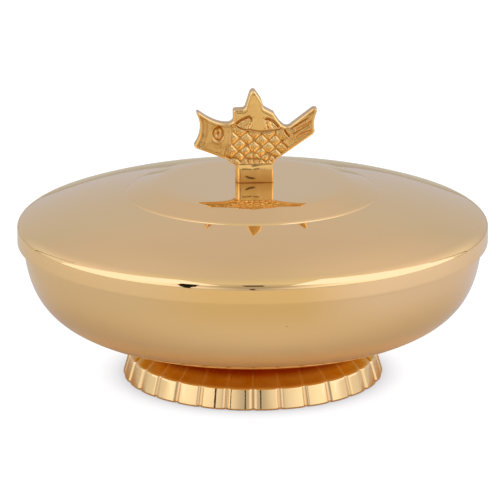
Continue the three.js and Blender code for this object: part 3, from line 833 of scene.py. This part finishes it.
def fish_mesh():
    spacing = 0.17
    line = outline_points(0.20)
    count = len(line)
    edges = [(i, (i + 1) % count) for i in range(count)]
    inward = inward_from(line)
    rings = []
    for degrees in (14, 28, 42, 56, 72):
        offset = EDGE_WIDTH * (1 - math.cos(math.radians(degrees)))
        ring = line + inward * offset
        reach, _ = distance_to(ring, line, closed=True)
        rings.append(ring[within(ring, line) & (reach > 0.97 * offset)])
    rows = []
    for k, zz in enumerate(np.arange(0, 30, spacing * math.sqrt(3) / 2)):
        xs = np.arange(-22, 24, spacing) + (spacing / 2 if k % 2 else 0)
        rows.append(np.stack([xs, np.full(len(xs), zz)], 1))
    grid = np.vstack(rows)
    grid = grid[within(grid, line)]
    reach, _ = distance_to(grid, line, closed=True)
    grid = grid[reach > 0.50]
    points = np.vstack([line, *rings, grid])
    flat, _, triangles, *_ = delaunay_2d_cdt([Vector(p) for p in points], edges, [], 1, 1e-6)
    flat = np.array([tuple(p) for p in flat])
    edge, _ = distance_to(flat, line, closed=True)
    half, painted_deep_tone, polish = relief(flat, edge)
    number = len(flat)
    verts = [np.stack([flat[:, 0], depth, flat[:, 1]], 1) for depth in (-half, half)]
    painted_deep_tones, polishes = [painted_deep_tone, painted_deep_tone], [polish, polish]
    faces = []
    for a, b, c in triangles:
        faces += [(a, b, c), (number + c, number + b, number + a)]
    ring_index = [int(np.argmin(np.hypot(flat[:, 0] - p[0], flat[:, 1] - p[1]))) for p in line]
    start = 2 * number
    wall_rows = [ring_index]
    for level in (-0.6, 0.0, 0.6):
        depth = half[ring_index] * level
        verts.append(np.stack([line[:, 0], depth, line[:, 1]], 1))
        # The side walls take a share of the painted deeper tone.
        painted_deep_tones.append(np.full(count, 0.45))
        polishes.append(np.full(count, 0.6))
        wall_rows.append(list(range(start, start + count)))
        start += count
    wall_rows.append([number + i for i in ring_index])
    for lower_row, upper_row in zip(wall_rows[:-1], wall_rows[1:]):
        for i in range(count):
            n = (i + 1) % count
            faces.append((lower_row[n], lower_row[i], upper_row[i], upper_row[n]))
    return np.vstack(verts), faces, np.concatenate(painted_deep_tones), np.concatenate(polishes)


def placed(verts):
    """Drawn finial points (x, y, height above the lid's top) turned and set on the lid."""
    v = np.asarray(verts, float)
    x = v[:, 0] * math.cos(TURN) - v[:, 1] * math.sin(TURN)
    y = v[:, 0] * math.sin(TURN) + v[:, 1] * math.cos(TURN)
    return np.stack([x, y, v[:, 2] + LID_TOP_Z], 1)


fish_verts, fish_faces, fish_painted_deep_tone, fish_polish = fish_mesh()
fish_verts[:, 2] += POST_HEIGHT
fish = new_piece("finial_casting", placed(fish_verts), fish_faces, cast, "lid", "cast_gold", ["finial_fish"])
set_float(fish, "painted_deep_tone", fish_painted_deep_tone)
set_float(fish, "polish", fish_polish)

# Painted near-black lines of shade and dark reflection on the post.
POST_PAINTED_DARK_LINES = (
    ([(-3.7, 5.1), (-2.9, 5.25), (-2.1, 5.15), (-0.6, 5.0)], 0.20),
    ([(0.3, 5.1), (1.2, 5.2), (2.1, 5.3)], 0.20),
    ([(-2.6, 2.5), (-1.2, 1.95), (0.6, 1.65)], 0.24),
    ([(-2.0, 2.25), (-1.2, 1.9), (-0.2, 1.75)], 0.30),
)


def post_mesh():
    left, right, half, round_edge, foot_round = 6.4, 7.4, 2.6, 0.6, 0.24
    loop = joined(
        arc((right - round_edge, half - round_edge), round_edge, 0, 90, 10),
        bezier([(1.75 - left, half), (1.25 - left, half), (0.95 - left, 1.95)], 8),
        bezier([(0.35 - left, 0.6), (-left, 0), (0.35 - left, -0.6)], 8),
        bezier([(0.95 - left, -1.95), (1.25 - left, -half), (1.75 - left, -half)], 8),
        arc((right - round_edge, round_edge - half), round_edge, 270, 360, 10),
        [(right, half - round_edge)],
    )
    loop = resampled(loop, 0.30)[:-1]
    levels = np.concatenate([[0.0, 0.06, 0.14, foot_round], np.arange(0.4, POST_HEIGHT + 0.5, 0.2)])
    below = np.maximum(foot_round - levels, 0)
    inset = foot_round - np.sqrt(np.maximum(foot_round**2 - below**2, 0))
    along = loop / np.linalg.norm(loop, axis=1)[:, None]
    verts, painted_deep_tone, painted_dark = [], [], []
    for z, gap in zip(levels, inset):
        ring = loop - along * gap
        ring[:, 1] *= 1 - POST_LEAN / half * (max(z - 3.4, 0) / 3.1) ** 2
        wave = 0.022 * ripples(np.stack([ring[:, 0] + ring[:, 1] * 2, np.full(len(ring), z)], 1), 3.6, 41)
        ring = ring + along * wave[:, None] * min(z, 1.0)
        verts.append(np.stack([ring[:, 0], ring[:, 1], np.full(len(ring), z)], 1))
        # Painted shade: the deeper tone darkens the post where it meets the lid and under the fish's belly,
        # and towards the bottom.
        dark = 0.7 * math.exp(-z / 0.25) + 0.15 * math.exp(-max(POST_HEIGHT + 0.15 - z, 0) / 0.2)
        dark += 0.5 * (1 - smoothstep(0.3, 4.6, z))
        on_face = np.stack([ring[:, 0], np.full(len(ring), z)], 1)
        painted_deep_tone.append(np.full(len(ring), min(dark, 1.0)))
        painted_dark.append(np.clip(sum(near(on_face, mark, width) for mark, width in POST_PAINTED_DARK_LINES), 0, 1))
    faces = capped(ring_faces(len(levels), len(loop)), len(levels), len(loop))
    return np.vstack(verts), faces, np.concatenate(painted_deep_tone), np.concatenate(painted_dark)


post_verts, post_faces, post_painted_deep_tone, post_painted_dark = post_mesh()
post = new_piece("finial_post", placed(post_verts), post_faces, cast, "lid", "cast_gold", ["finial_fish"])
set_float(post, "painted_deep_tone", post_painted_deep_tone)
set_float(post, "painted_dark", post_painted_dark)
set_float(post, "polish", np.full(len(post_painted_deep_tone), 0.9))

# Screws, washers and nuts

def screw_mesh(radius, bottom, top, pitch):
    depth = 0.55 * pitch
    sides = 40
    levels = np.arange(bottom, top + pitch / 20, pitch / 8)
    verts = []
    for z in levels:
        for i in range(sides):
            share = (z / pitch - i / sides) % 1
            groove = depth * (1 - abs(2 * share - 1)) ** 0.9
            end = np.clip((z - bottom) / (0.8 * pitch), 0.0, 1.0)
            r = (radius - groove) * (0.82 + 0.18 * end)
            a = 2 * math.pi * i / sides
            verts.append((r * math.cos(a), r * math.sin(a), min(z, top)))
    return verts, capped(ring_faces(len(levels), sides), len(levels), sides)


def nut_mesh(flats, bore, bottom, top):
    """A hexagonal nut with its corners chamfered and its bore countersunk, 0.05 mm within its box."""
    sides = 96
    lead = 0.25
    round_radius = flats / 2 * 1.03
    levels = (
        ("bore", bottom + lead), ("mouth", bottom), ("face", bottom), ("side", bottom), ("side", top),
        ("face", top), ("mouth", top), ("bore", top - lead),
    )
    verts = []
    for kind, z in levels:
        for i in range(sides):
            a = 2 * math.pi * i / sides
            hexagon = flats / 2 / math.cos((a + math.pi / 6) % (math.pi / 3) - math.pi / 6)
            drop = max(0.0, hexagon - round_radius) * math.tan(math.radians(30))
            face = min(round_radius, hexagon) - 0.05
            r = {"bore": bore, "mouth": bore + lead, "face": face, "side": hexagon}[kind]
            height = z
            if kind == "side":
                height = z + drop + 0.05 if z == bottom else z - drop - 0.05
            verts.append((r * math.cos(a), r * math.sin(a), height))
    return verts, ring_faces(len(levels), sides, closed=True)


def washer_mesh(inner, outer, bottom, top):
    r = min(0.25, (top - bottom) / 3)
    profile = joined(
        arc((outer - r, bottom + r), r, -90, 0, 4),
        arc((outer - r, top - r), r, 0, 90, 4),
        [(inner + r / 2, top), (inner, top - r / 2), (inner, bottom + r / 2), (inner + r / 2, bottom)],
    )
    return spin(profile, 72)


def fastener(name, ending, body, mesh, degrees):
    """A hidden brass piece, with edges sharper than an angle left sharp."""
    piece = new_piece(name + ending, *mesh, brass, body, "fastener", [name])
    piece.data.set_sharp_from_angle(angle=math.radians(degrees))


def box_of(name):
    a, b = low(name), high(name)
    return a[2], b[2], b[0]


for name, body, pitch in (("bowl_stud", "bowl", 0.8), ("finial_stud", "lid", 0.5)):
    bottom, top, radius = box_of(name)
    fastener(name, "_screw", body, screw_mesh(radius, bottom, top, pitch), 50)

for name, body, bore in (("foot_washer", "bowl", 2.8), ("lid_washer", "lid", 1.8)):
    bottom, top, radius = box_of(name)
    fastener(name, "_ring", body, washer_mesh(bore, radius, bottom, top), 40)

for name, body, bore in (("foot_nut", "bowl", 2.6), ("lid_nut", "lid", 1.6)):
    bottom, top, _ = box_of(name)
    fastener(name, "_hex", body, nut_mesh(2 * high(name)[1], bore, bottom, top), 25)

# Floor

# Tones of the floor as the gold shows it, painted light and shade of the studio: brighter far in front,
# darker behind and just around the object, UNDER_TONE a painted warm bounce that lifts the shade under the
# bowl, EDGE_TONE dark beyond a metre in front.
FRONT_TONE = (0.690, 0.620, 0.470, 1.0)
LEFT_TONE = (0.68, 0.66, 0.65, 1.0)
RIGHT_TONE = (0.755, 0.745, 0.85, 1.0)
FAR_FRONT_TONE = (0.97, 0.92, 0.82, 1.0)
FAR_SIDE_TONE = (0.70, 0.68, 0.64, 1.0)
BACK_TONE = (0.56, 0.535, 0.425, 1.0)
CLOSE_TONE = (0.64, 0.61, 0.58, 1.0)
UNDER_TONE = (0.83, 0.69, 0.50, 1.0)
EDGE_TONE = (0.30, 0.29, 0.28, 1.0)
SEEN_TONE = (0.14, 0.14, 0.145, 1.0)
PAINTED_CONTACT_SHADOW = (0.22, 0.225, 0.25, 1.0)
SEEN_PALE = (0.98, 0.98, 0.98, 1.0)


def floor_material():
    """A pale glowing floor with a painted contact shadow to the camera, and to the gold a floor whose
    painted light and shade change with place.
    """
    m, tree = material("studio_floor")
    out = tree.nodes.new("ShaderNodeOutputMaterial")
    place, reach = split_place(tree, tree.nodes.new("ShaderNodeTexCoord").outputs["Object"])
    sideways = math_node(tree, "ABSOLUTE", place[0])
    side = math_node(tree, "DIVIDE", sideways, math_node(tree, "MAXIMUM", reach, 0.01))
    side = map_range(tree, side, 0.25, 0.85, 0.0, 1.0, True)
    hand = map_range(tree, place[0], -0.05, 0.05, 0.0, 1.0, True)
    tone = mix_colour(tree, side, FRONT_TONE, mix_colour(tree, hand, LEFT_TONE, RIGHT_TONE))
    tone = scaled_colour(tree, tone, map_range(tree, reach, 0.19, 0.27, 0.87, 1.0, True))
    far_tone = mix_colour(tree, side, FAR_FRONT_TONE, FAR_SIDE_TONE)
    for share, other in (
        (map_range(tree, reach, 0.35, 0.9, 0.0, 1.0, True), far_tone),
        (map_range(tree, place[1], -0.05, 0.35, 0.0, 1.0, True), BACK_TONE),
        (map_range(tree, reach, 0.09, 0.17, 1.0, 0.0, True), CLOSE_TONE),
        (map_range(tree, reach, 0.060, 0.085, 1.0, 0.0, True), UNDER_TONE),
        (map_range(tree, place[1], -1.05, -0.95, 1.0, 0.0, True), EDGE_TONE),
    ):
        tone = mix_colour(tree, share, tone, other)
    mirrored = tree.nodes.new("ShaderNodeBsdfDiffuse")
    tree.links.new(tone, mirrored.inputs["Color"])
    lit = tree.nodes.new("ShaderNodeBsdfDiffuse")
    lit.inputs["Color"].default_value = SEEN_TONE
    # Painted contact shadow: ambient occlusion darkens the floor's glow next to the object.
    near_object = tree.nodes.new("ShaderNodeAmbientOcclusion")
    near_object.inputs["Distance"].default_value = 0.018
    near_object.samples = 12
    glow = tree.nodes.new("ShaderNodeEmission")
    tree.links.new(mix_colour(tree, near_object.outputs["AO"], PAINTED_CONTACT_SHADOW, SEEN_PALE), glow.inputs["Color"])
    seen = tree.nodes.new("ShaderNodeAddShader")
    tree.links.new(lit.outputs[0], seen.inputs[0])
    tree.links.new(glow.outputs[0], seen.inputs[1])
    for_camera(tree, seen.outputs[0], mirrored.outputs[0], out)
    return m


MIDDLE = (0, 0, 0.055)


def stage_plane(name, size, place, material_used, facing=None, seen=True):
    """A flat rectangle of the studio, turned towards a place."""
    w, h = size[0] / 2, size[1] / 2
    mesh = bpy.data.meshes.new(name)
    mesh.from_pydata([(-w, -h, 0), (w, -h, 0), (w, h, 0), (-w, h, 0)], [], [(0, 1, 2, 3)])
    mesh.materials.append(material_used)
    card = bpy.data.objects.new(name, mesh)
    bpy.context.scene.collection.objects.link(card)
    card.location = place
    if facing is not None:
        card.rotation_mode = "QUATERNION"
        card.rotation_quaternion = (Vector(facing) - Vector(place)).to_track_quat("Z", "Y")
    card.visible_camera = seen
    return card


stage_plane("floor", (14, 14), (0, 0, 0), floor_material())

# Dark things around the table that the polished gold shows

def plain_material(name, kind, colour):
    """One shader of one colour."""
    m, tree = material(name)
    out = tree.nodes.new("ShaderNodeOutputMaterial")
    shader = tree.nodes.new(kind)
    shader.inputs["Color"].default_value = (*colour, 1.0)
    tree.links.new(shader.outputs[0], out.inputs[0])
    return m


def around(azimuth, elevation, distance):
    """A point at a distance, an angle to the right of the front and an angle up from the middle."""
    a, e = math.radians(azimuth), math.radians(elevation)
    return (
        distance * math.sin(a) * math.cos(e),
        -distance * math.cos(a) * math.cos(e),
        MIDDLE[2] + distance * math.sin(e),
    )


STAND = (
    ((-0.671, -1.201, 0.01), 0.075),
    ((-0.650, -1.080, 0.42), 0.085),
    ((-0.600, -0.900, 0.86), 0.17),
    ((-0.435, -0.339, 1.27), 0.15),
)


def dark_strip(name, places, material_used):
    """A flat strip through places with their widths, turned towards the object."""
    verts = []
    for k, (place, width) in enumerate(places):
        here = Vector(place)
        along = Vector(places[min(k + 1, len(places) - 1)][0]) - Vector(places[max(k - 1, 0)][0])
        across = along.cross(Vector(MIDDLE) - here).normalized() * width / 2
        verts += [tuple(here - across), tuple(here + across)]
    mesh = bpy.data.meshes.new(name)
    mesh.from_pydata(verts, [], [(2 * k, 2 * k + 1, 2 * k + 3, 2 * k + 2) for k in range(len(places) - 1)])
    mesh.materials.append(material_used)
    strip = bpy.data.objects.new(name, mesh)
    bpy.context.scene.collection.objects.link(strip)
    strip.visible_camera = False


dark = plain_material("dark_flag", "ShaderNodeBsdfDiffuse", (0.02, 0.018, 0.016))
stage_plane("camera_flag", (0.065, 0.08), around(-0.8, 16.2, 1.56), dark, MIDDLE, seen=False)
stage_plane("boom_flag", (0.155, 0.34), around(1.0, 74, 1.45), dark, MIDDLE, seen=False)
stage_plane("column_flag", (0.065, 0.95), (0, -1.56, 0.476), dark, (0, 0, 0.476), seen=False)
stage_plane("base_flag", (0.10, 0.12), (0, -1.45, 0.06), dark, (0, 0, 0.06), seen=False)
dark_strip("stand_flag", STAND, dark)
stage_plane("right_flag", (0.035, 0.9), around(121, 22, 1.3), dark, MIDDLE, seen=False)
stage_plane("left_flag", (0.035, 0.9), around(-124, 22, 1.3), dark, MIDDLE, seen=False)

# Lights

def softbox(name, azimuth, elevation, distance, size, level, colour, screen):
    """An area light, with the screen that polished metal shows in its place."""
    data = bpy.data.lights.new(name, "AREA")
    data.shape = "RECTANGLE"
    data.size, data.size_y = size
    data.energy = level * math.pi * size[0] * size[1]
    data.color = colour
    lamp = bpy.data.objects.new(name, data)
    bpy.context.scene.collection.objects.link(lamp)
    place = around(azimuth, elevation, distance)
    lamp.location = place
    lamp.rotation_mode = "QUATERNION"
    lamp.rotation_quaternion = (Vector(MIDDLE) - Vector(place)).to_track_quat("-Z", "Y")
    lamp.visible_camera = False
    lamp.visible_glossy = False
    behind = around(azimuth, elevation, distance + 0.01)
    glowing = plain_material(name + "_glow", "ShaderNodeEmission", screen)
    card = stage_plane(name + "_screen", size, behind, glowing, MIDDLE, seen=False)
    card.visible_diffuse = False
    card.visible_shadow = False


softbox("softbox_right", 90, 42, 1.25, (1.10, 1.80), 0.82, (1.0, 1.10, 1.28), (1.16, 1.24, 1.62))
softbox("softbox_left", -84, 42, 1.25, (0.95, 1.80), 0.80, (1.0, 1.05, 1.12), (1.16, 1.20, 1.50))


GLOWS = (
    (92, 40, 8, 62, 0.35),
    (-88, 40, 8, 62, 0.30),
    (50, 20, 10, 45, 0.36),
    (-50, 20, 10, 45, 0.34),
    (0, 16, 4, 28, -0.03),
    (0, 62, 6, 36, -0.18),
    (180, 46, 8, 26, 0.035),
)
ROOM_LEVEL = 0.56
LOW_TINT = (0.99, 1.01, 1.16, 1.0)
MIDDLE_TINT = (0.99, 0.945, 1.10, 1.0)
TOP_TINT = (1.0, 0.975, 0.96, 1.0)


def studio_world():
    """A soft room around the gold, with glows by azimuth, elevation, inner and outer angle and level."""
    world = bpy.data.worlds.new("studio")
    bpy.context.scene.world = world
    world.use_nodes = True
    tree = world.node_tree
    tree.nodes.clear()
    out = tree.nodes.new("ShaderNodeOutputWorld")
    direction = tree.nodes.new("ShaderNodeTexCoord").outputs["Generated"]
    split = tree.nodes.new("ShaderNodeSeparateXYZ")
    tree.links.new(direction, split.inputs[0])
    forward, upward = split.outputs[1], split.outputs[2]
    total = ROOM_LEVEL
    for azimuth, elevation, inner, outer, level in GLOWS:
        a, e = math.radians(azimuth), math.radians(elevation)
        dot = tree.nodes.new("ShaderNodeVectorMath")
        dot.operation = "DOT_PRODUCT"
        tree.links.new(direction, dot.inputs[0])
        dot.inputs[1].default_value = (math.sin(a) * math.cos(e), -math.cos(a) * math.cos(e), math.sin(e))
        low_edge, high_edge = math.cos(math.radians(outer)), math.cos(math.radians(inner))
        glow = map_range(tree, dot.outputs["Value"], low_edge, high_edge, 0.0, level, True)
        total = math_node(tree, "ADD", glow, total)
    ahead = map_range(tree, forward, -0.55, -0.80, 0.0, 0.55, True)
    low_strip = map_range(tree, upward, 0.035, 0.065, 1.0, 0.0, True)
    kept = math_node(tree, "SUBTRACT", 1.0, math_node(tree, "MULTIPLY", ahead, low_strip))
    total = math_node(tree, "MULTIPLY", total, kept)
    tint = mix_colour(tree, map_range(tree, upward, 0.40, 0.66, 0.0, 1.0, True), LOW_TINT, MIDDLE_TINT)
    tint = mix_colour(tree, map_range(tree, upward, 0.75, 0.92, 0.0, 1.0, True), tint, TOP_TINT)
    room = tree.nodes.new("ShaderNodeBackground")
    tree.links.new(tint, room.inputs["Color"])
    tree.links.new(total, room.inputs["Strength"])
    plain = tree.nodes.new("ShaderNodeBackground")
    plain.inputs["Color"].default_value = (1.0, 1.0, 1.0, 1.0)
    plain.inputs["Strength"].default_value = 1.05
    for_camera(tree, plain.outputs[0], room.outputs[0], out)


studio_world()

# Camera

LENS = 311.3
CAMERA_PLACE = Vector((-0.96, -1504.0, 480.0)) * MM
CAMERA_AIM = Vector((-0.96, 0.0, 45.78)) * MM
CAMERA_ROLL = math.radians(-0.14)

camera_data = bpy.data.cameras.new("camera")
camera_data.lens = LENS
camera_data.sensor_width = 36.0
camera_data.clip_start = 0.05
camera_data.clip_end = 30.0
camera = bpy.data.objects.new("camera", camera_data)
bpy.context.scene.collection.objects.link(camera)
camera.rotation_mode = "QUATERNION"
camera.location = CAMERA_PLACE
towards = (CAMERA_AIM - CAMERA_PLACE).to_track_quat("-Z", "Y")
camera.rotation_quaternion = towards @ Matrix.Rotation(CAMERA_ROLL, 3, "Z").to_quaternion()
bpy.context.scene.camera = camera
bpy.context.scene.view_settings.view_transform = "Standard"

# Update the scene

bpy.context.view_layer.update()
